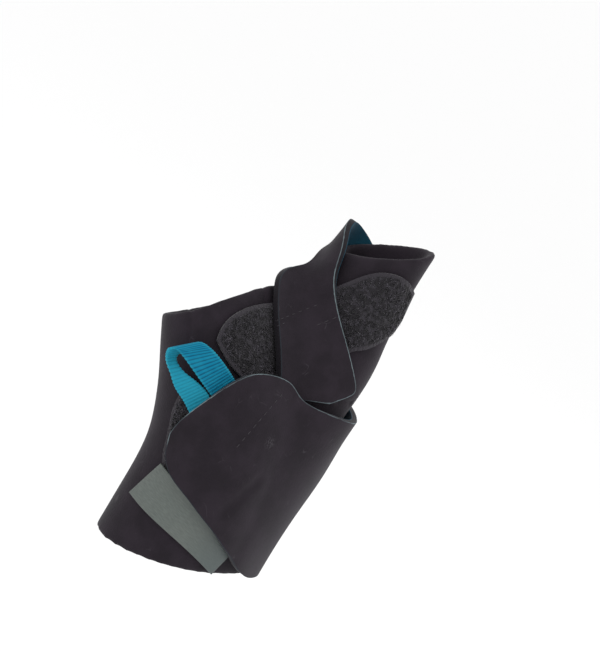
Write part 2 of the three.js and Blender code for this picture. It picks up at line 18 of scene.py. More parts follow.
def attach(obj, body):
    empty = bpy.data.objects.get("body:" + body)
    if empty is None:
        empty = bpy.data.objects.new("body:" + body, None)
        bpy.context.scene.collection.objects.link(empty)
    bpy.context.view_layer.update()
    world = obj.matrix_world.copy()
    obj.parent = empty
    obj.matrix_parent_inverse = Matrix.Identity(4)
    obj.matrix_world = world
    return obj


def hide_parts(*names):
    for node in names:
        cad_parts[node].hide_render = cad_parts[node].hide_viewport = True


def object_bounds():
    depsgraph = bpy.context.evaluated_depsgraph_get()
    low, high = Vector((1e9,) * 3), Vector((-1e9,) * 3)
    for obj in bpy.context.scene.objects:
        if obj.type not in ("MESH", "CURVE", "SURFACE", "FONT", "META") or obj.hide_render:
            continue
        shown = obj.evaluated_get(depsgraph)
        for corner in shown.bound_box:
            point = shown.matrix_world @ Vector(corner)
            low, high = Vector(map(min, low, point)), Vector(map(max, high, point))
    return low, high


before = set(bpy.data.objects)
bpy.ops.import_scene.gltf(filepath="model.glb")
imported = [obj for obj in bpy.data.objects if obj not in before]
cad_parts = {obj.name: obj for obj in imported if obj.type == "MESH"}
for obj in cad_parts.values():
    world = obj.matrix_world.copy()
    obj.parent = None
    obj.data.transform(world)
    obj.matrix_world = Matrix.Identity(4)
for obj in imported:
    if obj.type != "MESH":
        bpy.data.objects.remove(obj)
cad_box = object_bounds()
print("frame", sorted(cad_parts))

MM = 0.001

# %% [markdown]
# The camera comes first, because some small marks are placed by where they show in the photograph.
# It stands low on the palm side of the splint and is rolled, because the splint leans in the photograph.
# A long lens keeps the perspective flat. Its axes are worked out from three angles, so they can be read off.

# %% Stand the camera
PHOTO_WIDTH = 600
PHOTO_HEIGHT = 651
CAMERA_AZIMUTH = math.radians(-55)
CAMERA_ELEVATION = math.radians(13)
CAMERA_ROLL = math.radians(31)
CAMERA_DISTANCE = 1.1
SENSOR = 36.0
LENS = 167.3
AIM_RIGHT = 27.3 * MM
AIM_UP = 53.3 * MM

level = math.cos(CAMERA_ELEVATION)
toward = Vector((
    math.sin(CAMERA_AZIMUTH) * level,
    -math.cos(CAMERA_AZIMUTH) * level,
    math.sin(CAMERA_ELEVATION),
))
flat_right = Vector((math.cos(CAMERA_AZIMUTH), math.sin(CAMERA_AZIMUTH), 0))
flat_up = toward.cross(flat_right)
lean_right = math.cos(CAMERA_ROLL) * flat_right + math.sin(CAMERA_ROLL) * flat_up
lean_up = math.cos(CAMERA_ROLL) * flat_up - math.sin(CAMERA_ROLL) * flat_right
eye = toward * CAMERA_DISTANCE
back = (eye - lean_right * AIM_RIGHT - lean_up * AIM_UP).normalized()
right = lean_up.cross(back).normalized()
up = back.cross(right)

camera = bpy.data.objects.new("camera", bpy.data.cameras.new("camera"))
camera.data.lens = LENS
camera.data.sensor_width = SENSOR
camera.data.clip_end = 100
camera.matrix_world = Matrix.Translation(eye) @ Matrix((right, up, back)).transposed().to_4x4()
bpy.context.scene.collection.objects.link(camera)
bpy.context.scene.camera = camera
print("camera stands at", tuple(round(c, 3) for c in eye))

# %% [markdown]
# The studio is plain: a pale floor well below the splint, a pale sky all round, and large soft lights.
# The splint is worn, so it keeps its form in the air, and the floor only catches a faint shadow.
# White all round is also what gives dark knitted cloth its grey rim of sheen.

# %% Build the studio
FLOOR_DROP = 0.16
FLOOR_SIZE = 60.0
STUDIO_WHITE = (0.93, 0.93, 0.93, 1)
SKY_STRENGTH = 1.05
LIGHTS = [
    {"name": "key", "place": (-1.0, -0.9, 1.3), "size": 1.3, "watts": 2.5},
    {"name": "rim", "place": (1.2, -0.3, 0.7), "size": 1.0, "watts": 2.5},
]


def plain_material(name, colour, roughness):
    material = bpy.data.materials.new(name)
    material.use_nodes = True
    shader = material.node_tree.nodes["Principled BSDF"]
    shader.inputs["Base Color"].default_value = colour
    shader.inputs["Roughness"].default_value = roughness
    return material


def object_from(bm, name):
    mesh = bpy.data.meshes.new(name)
    bm.to_mesh(mesh)
    bm.free()
    piece = bpy.data.objects.new(name, mesh)
    bpy.context.scene.collection.objects.link(piece)
    return piece


bm = bmesh.new()
bmesh.ops.create_grid(bm, x_segments=1, y_segments=1, size=FLOOR_SIZE / 2)
bmesh.ops.translate(bm, verts=bm.verts, vec=(0, 0, cad_box[0].z - FLOOR_DROP))
floor = object_from(bm, "floor")
floor.data.materials.append(plain_material("floor_white", STUDIO_WHITE, 0.9))

for row in LIGHTS:
    lamp = bpy.data.lights.new(row["name"], "AREA")
    lamp.size = row["size"]
    lamp.energy = row["watts"]
    light = bpy.data.objects.new(row["name"], lamp)
    place = Vector(row["place"])
    light.matrix_world = Matrix.Translation(place) @ place.to_track_quat("Z", "Y").to_matrix().to_4x4()
    bpy.context.scene.collection.objects.link(light)

world = bpy.data.worlds.new("sky")
world.use_nodes = True
world.node_tree.nodes["Background"].inputs["Color"].default_value = (1, 1, 1, 1)
world.node_tree.nodes["Background"].inputs["Strength"].default_value = SKY_STRENGTH
bpy.context.scene.world = world
bpy.context.scene.view_settings.view_transform = "Standard"
print("studio lights", len(LIGHTS))

# %% [markdown]
# A sight line joins the camera to a point of the photograph. Casting it on a piece finds where a stitch or a
# crease of the photograph lies on that piece, in real space, so the mark stays on what carries it.

# %% Sight lines from the photograph
FOCAL = LENS / SENSOR * PHOTO_HEIGHT


def sight_line(pixel):
    across = (pixel[0] - PHOTO_WIDTH / 2) / FOCAL
    above = (PHOTO_HEIGHT / 2 - pixel[1]) / FOCAL
    return (right * across + up * above - back).normalized()


def tree_of(piece):
    mesh = piece.data
    return BVHTree.FromPolygons([v.co for v in mesh.vertices], [p.vertices for p in mesh.polygons])


def seen_at(tree, pixel):
    place, normal, _, _ = tree.ray_cast(eye, sight_line(pixel))
    return place, normal


# %% [markdown]
# Every laid piece of the model, such as a strap or a patch, is a thin slab with a regular grid of triangles
# on its upper and its under face. Reading that grid back as rows of points gives a soft piece two
# directions of its own, along and across, and these carry the weave, the stitches and the edges later.

# %% Read a slab's faces as rows of points
PLAIN_CORNER = 4
LONGEST_LINE = 200
SLEEVE_TREE = tree_of(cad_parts["sleeve"])


def merged_copy(node):
    bm = bmesh.new()
    bm.from_mesh(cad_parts[node].data)
    bmesh.ops.remove_doubles(bm, verts=bm.verts, dist=1e-6)
    bm.verts.index_update()
    return bm


def straight_on(edge, vertex):
    """The edge opposite this one at a vertex where six meet."""
    loop = next(l for l in edge.link_loops if l.vert == vertex)
    for _ in range(3):
        loop = loop.link_loop_prev.link_loop_radial_next
    return loop.edge


def line_from(corner, edge, steps, stop=()):
    """A straight line of vertices from a corner, so many steps long or up to a stop."""
    line = [corner, edge.other_vert(corner)]
    while len(line) <= steps and line[-1] not in stop:
        edge = straight_on(edge, line[-1])
        line.append(edge.other_vert(line[-1]))
    return line


def crease(line):
    """How sharply the faces meet along a line of vertices."""
    edges = [next(e for e in a.link_edges if b in e.verts) for a, b in zip(line, line[1:])]
    return sum(e.calc_face_angle(0) for e in edges) / len(edges)


def slab_corners(bm):
    """A slab's eight corners, and its counts of steps through, across and along."""
    plain = [v for v in bm.verts if len(v.link_edges) == PLAIN_CORNER]
    found = [line_from(v, edge, LONGEST_LINE, plain) for v in plain for edge in v.link_edges]
    found = [line for line in found if line[-1] in plain]
    steps = sorted({len(line) - 1 for line in found})[:3]
    sharpness = {}
    for v in plain:
        own = {len(line) - 1 for line in found if line[0] == v}
        missing = next(n for n in steps if n not in own)
        for edge in v.link_edges:
            line = line_from(v, edge, missing)
            if line[-1] not in plain:
                sharpness[line[-1]] = sharpness.get(line[-1], 0) + crease(line)
    hidden = sorted(sharpness, key=sharpness.get)[-2:]
    return plain + hidden, steps


def outline_from(corner, corners, steps):
    """The three straight lines that leave a corner: through, across and along the slab."""
    lines = []
    for count in steps:
        tried = [line_from(corner, edge, count) for edge in corner.link_edges]
        lines.append(max((line for line in tried if line[-1] in corners), key=crease))
    return lines


def rows_from(corner, corners, steps):
    """The grid that starts at a slab's corner, as rows from one end to the other."""
    wall, row, side = outline_from(corner, corners, steps)
    other = outline_from(row[-1], corners, steps)[2]
    placed = {*row, *outline_from(wall[-1], corners, steps)[1]}
    rows = [row]
    for left, far in zip(side[1:], other[1:]):
        new = []
        for a, b in zip(row, row[1:]):
            beside = [v for f in a.link_faces if b in f.verts for v in f.verts]
            new.append(next(v for v in beside if v not in placed and v not in (a, b)))
        row = new + [far] if new[0] == left else [left] + new
        placed.update(row)
        rows.append(row)
    return np.array([[v.co[:] for v in row] for row in rows]), wall[-1]


def size_of(rows):
    """Mean length along and across, in metres."""
    along = np.linalg.norm(np.diff(rows, axis=0), axis=2).sum(0).mean()
    across = np.linalg.norm(np.diff(rows, axis=1), axis=2).sum(1).mean()
    return along, across


def cut_of(rows):
    """The flat cut of a laid piece: its widest width with its longest length, and its area."""
    widths = np.linalg.norm(np.diff(rows, axis=1), axis=2).sum(1)
    lengths = np.linalg.norm(np.diff(rows, axis=0), axis=2).sum(0)
    diagonals = rows[1:, 1:] - rows[:-1, :-1], rows[1:, :-1] - rows[:-1, 1:]
    area = np.linalg.norm(np.cross(*diagonals), axis=2).sum() / 2
    return {"flat": (widths.max(), lengths.max()), "area": area}


def clear_of_sleeve(rows):
    return sum(SLEEVE_TREE.find_nearest(point)[3] for point in rows.reshape(-1, 3))


def slab_rows(node):
    """Upper and under rows of a laid piece, from its end on the palm side and from its lower edge."""
    bm = merged_copy(node)
    corners, steps = slab_corners(bm)
    first, partner = rows_from(corners[0], corners, steps)
    second, _ = rows_from(partner, corners, steps)
    under, upper = sorted((first, second), key=clear_of_sleeve)
    if upper[0, :, 1].mean() > upper[-1, :, 1].mean():
        upper = upper[::-1]
    if upper[:, 0, 2].mean() > upper[:, -1, 2].mean():
        upper = upper[:, ::-1]
    turned = [under, under[::-1], under[:, ::-1], under[::-1, ::-1]]
    under = min(turned, key=lambda rows: np.abs(rows - upper).sum())
    bm.free()
    return upper, under


# %% [markdown]
# A cubic spline through the rows gives the soft, even surface of sheet foam, where the model has flat facets.
# The spline is written as a table of weights, one row for each wanted place, so that a whole piece is one
# product of small matrices.

# %% Smooth between the rows


def spline_weights(count, shares):
    """Weights of count points for a smooth cubic at each share from 0 to 1."""
    place = np.clip(np.asarray(shares, float), 0, 1) * (count - 1)
    start = np.minimum(place.astype(int), count - 2)
    t = place - start
    basis = [(1 - t) ** 3, 3 * t**3 - 6 * t**2 + 4, -3 * t**3 + 3 * t**2 + 3 * t + 1, t**3]
    weights = np.zeros((len(place), count + 2))
    for k in range(4):
        weights[np.arange(len(place)), start + k] += basis[k] / 6
    inner = weights[:, 1:-1].copy()
    inner[:, 0] += 2 * weights[:, 0]
    inner[:, 1] -= weights[:, 0]
    inner[:, -1] += 2 * weights[:, -1]
    inner[:, -2] -= weights[:, -1]
    return inner


def on_rows(rows, along, across):
    """Points of the smooth surface at shares along and across."""
    a = spline_weights(rows.shape[0], along)
    b = spline_weights(rows.shape[1], across)
    return np.einsum("pi,pj,ijk->pk", a, b, rows)


# %% [markdown]
# A laid piece starts as two flat grids, one for each face. Their points are moved onto the splines, the two
# borders are bridged into a cut wall, and the wall's edges get a small bevel, because foam never cuts sharp.
# Four attributes stay with the mesh: depth runs from 0 on the upper face to 1 under it, edge is the distance
# from the upper outline, along runs from end to end, and side from the lower edge to the higher. With them a
# material can show the laminated layers of the cut, and where their edge catches the light.

# %% Make a laid piece
EDGE_STEP = 0.3 * MM


def sampled_outline(rows):
    """Points close together round the upper face's outline."""
    along, across = size_of(rows)
    a = np.linspace(0, 1, int(along / EDGE_STEP))
    b = np.linspace(0, 1, int(across / EDGE_STEP))
    ends = [on_rows(rows, a, np.full(len(a), side)) for side in (0, 1)]
    ends += [on_rows(rows, np.full(len(b), side), b) for side in (0, 1)]
    return np.concatenate(ends)


def give_layers(bm, upper_tree, under_tree, outline):
    """Writes the depth and edge attributes."""
    depth = bm.verts.layers.float.new("depth")
    edge = bm.verts.layers.float.new("edge")
    border = KDTree(len(outline))
    for i, point in enumerate(outline):
        border.insert(point, i)
    border.balance()
    for v in bm.verts:
        above = upper_tree.find_nearest(v.co)[3]
        below = under_tree.find_nearest(v.co)[3]
        v[depth] = above / max(above + below, 1e-9)
        v[edge] = border.find(v.co)[2]


def laid_piece(name, node, cell, soft_edge):
    upper, under = slab_rows(node)
    length, width = size_of(upper)
    along, across = round(length / cell), round(width / cell)
    bm = bmesh.new()
    uv = bm.loops.layers.uv.new("lay")
    lengthways = bm.verts.layers.float.new("along")
    side = bm.verts.layers.float.new("side")
    trees = []
    for rows in (upper, under):
        made = bmesh.ops.create_grid(
            bm, x_segments=along, y_segments=across, size=0.5, calc_uvs=True
        )["verts"]
        flat = np.array([v.co[:] for v in made]) + 0.5
        points = on_rows(rows, flat[:, 0], flat[:, 1])
        for v, point, share in zip(made, points, flat):
            v.co = point
            v[lengthways] = share[0]
            v[side] = share[1]
        faces = {f for v in made for f in v.link_faces}
        index = {v: i for i, v in enumerate(made)}
        trees.append(BVHTree.FromPolygons([v.co for v in made], [[index[v] for v in f.verts] for f in faces]))
    for face in bm.faces:
        for loop in face.loops:
            loop[uv].uv = (loop[uv].uv.x * length, loop[uv].uv.y * width)
    border = [e for e in bm.edges if e.is_boundary]
    bmesh.ops.bridge_loops(bm, edges=border)
    bmesh.ops.recalc_face_normals(bm, faces=bm.faces)
    bmesh.ops.bevel(
        bm, geom=border, offset=soft_edge, offset_type="OFFSET", segments=2, profile=0.5,
        affect="EDGES", material=-1, clamp_overlap=True,
    )
    for face in bm.faces:
        face.smooth = True
    give_layers(bm, *trees, sampled_outline(upper))
    piece = object_from(bm, name)
    print(f"{name}: {length / MM:.0f} by {width / MM:.0f} mm, {len(piece.data.polygons)} faces")
    return piece, cut_of(upper)


thumb_strap, thumb_strap_cut = laid_piece("thumb_strap_cut", "thumb_strap", 1.1 * MM, 0.55 * MM)
wrist_strap, wrist_strap_cut = laid_piece("wrist_strap_cut", "wrist_strap", 1.3 * MM, 0.55 * MM)
thumb_pile, thumb_pile_cut = laid_piece("thumb_pile_base", "thumb_pile_patch", 0.8 * MM, 0.3 * MM)
wrist_pile, wrist_pile_cut = laid_piece("wrist_pile_base", "wrist_pile_patch", 0.8 * MM, 0.3 * MM)
thumb_hooks, thumb_hooks_cut = laid_piece("thumb_hook_tape", "thumb_hook_tab", 0.9 * MM, 0.2 * MM)
wrist_hooks, wrist_hooks_cut = laid_piece("wrist_hook_tape", "wrist_hook_tab", 0.9 * MM, 0.2 * MM)
label, label_cut = laid_piece("label_strip", "label", 0.8 * MM, 0.15 * MM)

# %% [markdown]
# The sleeve is one shell round two crossing tubes, so it has no single grid. A voxel remesh gives it small
# even faces, and passes of smoothing round off the model's facets. Most passes are meant to keep away from the
# rims, which would otherwise shrink and lose their cut wall. This cell has a known fault. The largest groups of
# broad faces should be the outer and the inner side, but on this shape they are joined in one group. Depth then
# stays near 0 all over the sleeve, so its inside shows jersey and no lining. The rims also come out uneven. The
# likely reason, not tested, is that their outline is taken from the same groups.

# %% Make the sleeve
SLEEVE_VOXEL = 0.84 * MM
WALLS_THROUGH = 1.3
SMOOTH_FACTOR = 0.5
RIM_POINTS = 16
SMOOTHING = [
    {"clear": 0.0, "passes": 12},
    {"clear": 1.6 * MM, "passes": 6},
    {"clear": 3.2 * MM, "passes": 16},
]


def broad_groups(bm):
    """Connected groups of faces that have the opposite face close behind them, the largest first."""
    wall = 2 * abs(bm.calc_volume()) / sum(f.calc_area() for f in bm.faces)
    tree = BVHTree.FromBMesh(bm)
    left = set()
    for face in bm.faces:
        start = face.calc_center_median() - face.normal * wall / 100
        through = tree.ray_cast(start, -face.normal)[3]
        if through is not None and through < WALLS_THROUGH * wall:
            left.add(face)
    groups = []
    while left:
        group = [left.pop()]
        for face in group:
            near = {f for edge in face.edges for f in edge.link_faces if f in left}
            left -= near
            group.extend(near)
        groups.append(group)
    return sorted(groups, key=lambda group: -sum(f.calc_area() for f in group))


def flux(group):
    return sum(f.calc_area() * f.normal.dot(f.calc_center_median()) for f in group)


def tree_from_faces(faces):
    verts = list({v for f in faces for v in f.verts})
    index = {v: i for i, v in enumerate(verts)}
    return BVHTree.FromPolygons([v.co for v in verts], [[index[v] for v in f.verts] for f in faces])


def make_sleeve():
    bm = merged_copy("sleeve")
    outer, inner = sorted(broad_groups(bm)[:2], key=flux, reverse=True)
    outer_tree, inner_tree = tree_from_faces(outer), tree_from_faces(inner)
    outer_faces = set(outer)
    rim = [e for f in outer for e in f.edges if sum(g in outer_faces for g in e.link_faces) == 1]
    outline = [e.verts[0].co.lerp(e.verts[1].co, k / RIM_POINTS) for e in rim for k in range(RIM_POINTS)]
    outline = np.array([p[:] for p in outline])
    rough = object_from(bm, "sleeve_rough")
    remesh = rough.modifiers.new("even", "REMESH")
    remesh.mode = "VOXEL"
    remesh.voxel_size = SLEEVE_VOXEL
    mesh = bpy.data.meshes.new_from_object(rough.evaluated_get(bpy.context.evaluated_depsgraph_get()))
    bpy.data.objects.remove(rough)
    bm = bmesh.new()
    bm.from_mesh(mesh)
    give_layers(bm, outer_tree, inner_tree, outline)
    edge = bm.verts.layers.float["edge"]
    for row in SMOOTHING:
        chosen = [v for v in bm.verts if v[edge] >= row["clear"]]
        for _ in range(row["passes"]):
            bmesh.ops.smooth_vert(
                bm, verts=chosen, factor=SMOOTH_FACTOR, use_axis_x=True, use_axis_y=True, use_axis_z=True
            )
    for face in bm.faces:
        face.smooth = True
    piece = object_from(bm, "sleeve_shell")
    print(f"sleeve: {len(piece.data.polygons)} faces")
    return piece


sleeve = make_sleeve()

# %% [markdown]
# The pull is a loop of grosgrain ribbon: plain weave with fat ribs across it and small picots on both edges.
# Its ribs are real shape, because they catch the light one by one, so the grid is fine along the ribbon and
# each row is lifted by a rounded wave. The picots push the two edge rows out on every rib.

# %% Make the ribbon pull
RIB_PITCH = 1.25 * MM
RIB_HEIGHT = 0.13 * MM
RIB_STEPS = 8
RIBBON_ACROSS = 14
PICOT_REACH = 0.22 * MM
PICOT_BAND = 0.06


def make_ribbon():
    upper, under = slab_rows("pull_loop")
    length, width = size_of(upper)
    ribs = round(length / RIB_PITCH)
    bm = bmesh.new()
    uv = bm.loops.layers.uv.new("lay")
    wave_layer = bm.verts.layers.float.new("rib")
    edge_layer = bm.verts.layers.float.new("picot")
    lengthways = bm.verts.layers.float.new("along")
    for rows, other in ((upper, under), (under, upper)):
        made = bmesh.ops.create_grid(
            bm, x_segments=ribs * RIB_STEPS, y_segments=RIBBON_ACROSS, size=0.5, calc_uvs=True
        )["verts"]
        flat = np.array([v.co[:] for v in made]) + 0.5
        along, across = flat[:, 0], flat[:, 1]
        points = on_rows(rows, along, across)
        outward = points - on_rows(other, along, across)
        outward /= np.linalg.norm(outward, axis=1)[:, None]
        sideways = on_rows(rows, along, np.ones(len(along))) - on_rows(rows, along, np.zeros(len(along)))
        sideways /= np.linalg.norm(sideways, axis=1)[:, None]
        wave = np.abs(np.sin(along * ribs * math.pi))
        rim = np.clip(1 - np.minimum(across, 1 - across) / PICOT_BAND, 0, 1)
        side = np.where(across > 0.5, 1.0, -1.0)
        points += outward * (RIB_HEIGHT * (wave - 0.5) * (1 - 0.5 * rim))[:, None]
        points += sideways * (PICOT_REACH * wave * rim * side)[:, None]
        for v, point, w, r, share in zip(made, points, wave, rim, along):
            v.co = point
            v[wave_layer] = w
            v[edge_layer] = r
            v[lengthways] = share
    for face in bm.faces:
        face.smooth = True
        for loop in face.loops:
            loop[uv].uv = (loop[uv].uv.x * length, loop[uv].uv.y * width)
    bmesh.ops.bridge_loops(bm, edges=[e for e in bm.edges if e.is_boundary])
    bmesh.ops.recalc_face_normals(bm, faces=bm.faces)
    piece = object_from(bm, "ribbon_pull")
    print(f"ribbon: {length / MM:.0f} by {width / MM:.1f} mm, {ribs} ribs")
    return piece, cut_of(upper)


ribbon, ribbon_cut = make_ribbon()

# %% [markdown]
# Cloth keeps marks: a seam draws in a shallow groove, a fold leaves a crease, and a wrap that turns tightly
# wrinkles. Each mark runs between two points of the photograph. Corners near it move along their own normals,
# most on the line itself and fading out at its reach.

# %% Press in seams, creases and wrinkles
MARK_POINTS = 40
MARKS = [
    {"piece": sleeve, "from": (191, 306), "to": (190, 342), "reach": 1.5 * MM, "rise": -0.45 * MM},
    {"piece": sleeve, "from": (265, 283), "to": (264, 307), "reach": 1.5 * MM, "rise": -0.45 * MM},
    {"piece": wrist_strap, "from": (257, 482), "to": (225, 512), "reach": 3.5 * MM, "rise": -0.5 * MM},
    {"piece": sleeve, "from": (339, 402), "to": (351, 403), "reach": 2.2 * MM, "rise": -0.6 * MM},
    {"piece": sleeve, "from": (347, 396), "to": (356, 396), "reach": 2.6 * MM, "rise": 0.6 * MM},
]
SMUDGE = {"piece": wrist_strap, "at": (270, 443), "reach": 3.2 * MM}


def line_on(tree, start, end):
    """Points close together on a surface, seen between two pixels."""
    start, end = Vector(start), Vector(end)
    found = [seen_at(tree, start.lerp(end, k / MARK_POINTS))[0] for k in range(MARK_POINTS + 1)]
    return [point for point in found if point is not None]


def fade(distance, reach):
    share = max(0.0, 1 - (distance / reach) ** 2)
    return share * share


def press(piece, line, reach, rise):
    near = KDTree(len(line))
    for i, point in enumerate(line):
        near.insert(point, i)
    near.balance()
    mesh = piece.data
    moved = 0
    for v, normal in zip(mesh.vertices, [n.vector.copy() for n in mesh.vertex_normals]):
        amount = fade(near.find(v.co)[2], reach)
        if amount > 0:
            v.co = v.co + normal * rise * amount
            moved += 1
    mesh.update()
    return moved


for mark in MARKS:
    line = line_on(tree_of(mark["piece"]), mark["from"], mark["to"])
    count = press(mark["piece"], line, mark["reach"], mark["rise"])
    print("mark on", mark["piece"].name, len(line), "points", count, "corners")

spot = seen_at(tree_of(SMUDGE["piece"]), SMUDGE["at"])[0]
corners = SMUDGE["piece"].data.vertices
smudged = SMUDGE["piece"].data.attributes.new("smudge", "FLOAT", "POINT")
smudged.data.foreach_set("value", [fade((v.co - spot).length, SMUDGE["reach"]) for v in corners])
print("smudge at", tuple(round(c, 4) for c in spot))

# %% [markdown]
# Shared effects are node groups with named inputs, built once. Jersey gives the fine grain of knitted
# stitches, and lint gives the few pale specks and fibres that dark cloth always carries. A group only puts
# out values, and the shader stays in each material.

# %% Node helpers


class Nodes:
    """A node tree with a short way to add and join nodes."""

    def __init__(self, tree):
        self.tree = tree

    def add(self, kind, values=None, links=None, **settings):
        node = self.tree.nodes.new(kind)
        for name, value in settings.items():
            setattr(node, name, value)
        for name, value in (values or {}).items():
            node.inputs[name].default_value = value
        for name, source in (links or {}).items():
            self.tree.links.new(source, node.inputs[name])
        return node

    def math(self, operation, a, b=0.0, clamp=False):
        node = self.add("ShaderNodeMath", operation=operation, use_clamp=clamp)
        for socket, value in zip(node.inputs, (a, b)):
            if isinstance(value, bpy.types.NodeSocket):
                self.tree.links.new(value, socket)
            else:
                socket.default_value = value
        return node.outputs[0]

    def ramp(self, value, low, high):
        return self.add(
            "ShaderNodeMapRange", {"From Min": low, "From Max": high}, {"Value": value},
            interpolation_type="SMOOTHSTEP",
        ).outputs["Result"]

    def mix(self, share, a, b):
        node = self.add("ShaderNodeMix", data_type="RGBA")
        for socket, value in ((node.inputs[0], share), (node.inputs[6], a), (node.inputs[7], b)):
            if isinstance(value, bpy.types.NodeSocket):
                self.tree.links.new(value, socket)
            else:
                socket.default_value = value
        return node.outputs[2]

    def attribute(self, name):
        return self.add("ShaderNodeAttribute", attribute_name=name).outputs["Fac"]


def new_group(name, inputs, outputs):
    """A shader node group with number inputs and outputs, and its own Nodes."""
    tree = bpy.data.node_groups.new(name, "ShaderNodeTree")
    for label_text, value in inputs.items():
        socket = tree.interface.new_socket(label_text, in_out="INPUT", socket_type="NodeSocketFloat")
        socket.default_value = value
    for label_text in outputs:
        tree.interface.new_socket(label_text, in_out="OUTPUT", socket_type="NodeSocketFloat")
    nodes = Nodes(tree)
    return nodes, nodes.add("NodeGroupInput"), nodes.add("NodeGroupOutput")


def linear(red, green, blue):
    """A colour as the eye names it, from 0 to 255, in the shader's own units."""
    def one(value):
        share = value / 255
        return share / 12.92 if share <= 0.04045 else ((share + 0.055) / 1.055) ** 2.4
    return (one(red), one(green), one(blue), 1.0)


# %% Build the jersey and lint groups


def jersey_group():
    nodes, given, result = new_group("jersey", {"Stitches": 1800.0, "Mottle": 90.0}, ["Height", "Tone"])
    place = nodes.add("ShaderNodeTexCoord").outputs["Object"]
    stretched = nodes.add("ShaderNodeMapping", {"Scale": (1.0, 1.0, 0.6)}, {"Vector": place})
    loops = nodes.add(
        "ShaderNodeTexVoronoi", {"Randomness": 0.75},
        {"Vector": stretched.outputs[0], "Scale": given.outputs["Stitches"]}, feature="F1",
    )
    broad = nodes.add(
        "ShaderNodeTexNoise", {"Detail": 4.0, "Roughness": 0.6},
        {"Vector": place, "Scale": given.outputs["Mottle"]},
    )
    height = nodes.math("SUBTRACT", 1.0, loops.outputs["Distance"])
    nodes.tree.links.new(height, result.inputs["Height"])
    nodes.tree.links.new(broad.outputs["Fac"], result.inputs["Tone"])
    return nodes.tree


def lint_group():
    nodes, given, result = new_group("lint", {"Scale": 160.0, "Amount": 0.3}, ["Mask"])
    place = nodes.add("ShaderNodeTexCoord").outputs["Object"]
    bent = nodes.add("ShaderNodeTexNoise", {"Scale": 60.0, "Detail": 2.0}, {"Vector": place})
    pushed = nodes.add("ShaderNodeMix", {0: 0.03}, data_type="VECTOR")
    nodes.tree.links.new(place, pushed.inputs[4])
    nodes.tree.links.new(bent.outputs["Color"], pushed.inputs[5])
    cells = nodes.add(
        "ShaderNodeTexVoronoi", {"Randomness": 1.0},
        {"Vector": pushed.outputs[1], "Scale": given.outputs["Scale"]}, feature="DISTANCE_TO_EDGE",
    )
    thread = nodes.math("SUBTRACT", 1.0, nodes.ramp(cells.outputs["Distance"], 0.0, 0.035))
    patches = nodes.add("ShaderNodeTexNoise", {"Scale": 140.0, "Detail": 3.0}, {"Vector": place})
    rare = nodes.ramp(patches.outputs["Fac"], 0.6, 0.72)
    mask = nodes.math("MULTIPLY", nodes.math("MULTIPLY", thread, rare), given.outputs["Amount"])
    nodes.tree.links.new(mask, result.inputs["Mask"])
    return nodes.tree


jersey = jersey_group()
lint = lint_group()
print("groups", [g.name for g in (jersey, lint)])

# %% [markdown]
# Neoprene is the main finish. Its upper face is near black jersey with a soft sheen at grazing angles. The
# cut shows a thin line along the upper outline, then dark foam, and the face below is the petrol lining. The
# line
# is a painted highlight: it is painted pale towards the higher side, where the edge catches the light, and
# stays dark along the lower side, where the lining is also left out as painted shade. The depth, edge and side
# attributes choose between them. The same function makes the finish of the sleeve, which has no pale line, and
# of the straps. The lining only shows on the straps, because of the fault named above.

# %% Neoprene
JERSEY_DARK = linear(31, 26, 32)
JERSEY_LIGHT = linear(41, 35, 42)
LINT_PALE = linear(84, 80, 86)
# The pale cut colour is a painted highlight, used on the cut's higher side.
CUT_PAINTED_HIGHLIGHT = linear(104, 116, 120)
CUT_DARK = linear(40, 44, 50)
FOAM = linear(26, 23, 28)
LINING = linear(16, 66, 84)
LINING_DARK = linear(12, 50, 66)


def bump_on(nodes, shader, height, strength, distance):
    bump = nodes.add("ShaderNodeBump", {"Strength": strength, "Distance": distance}, {"Height": height})
    nodes.tree.links.new(bump.outputs[0], shader.inputs["Normal"])


def new_material(name):
    material = bpy.data.materials.new(name)
    material.use_nodes = True
    nodes = Nodes(material.node_tree)
    return material, nodes, material.node_tree.nodes["Principled BSDF"]


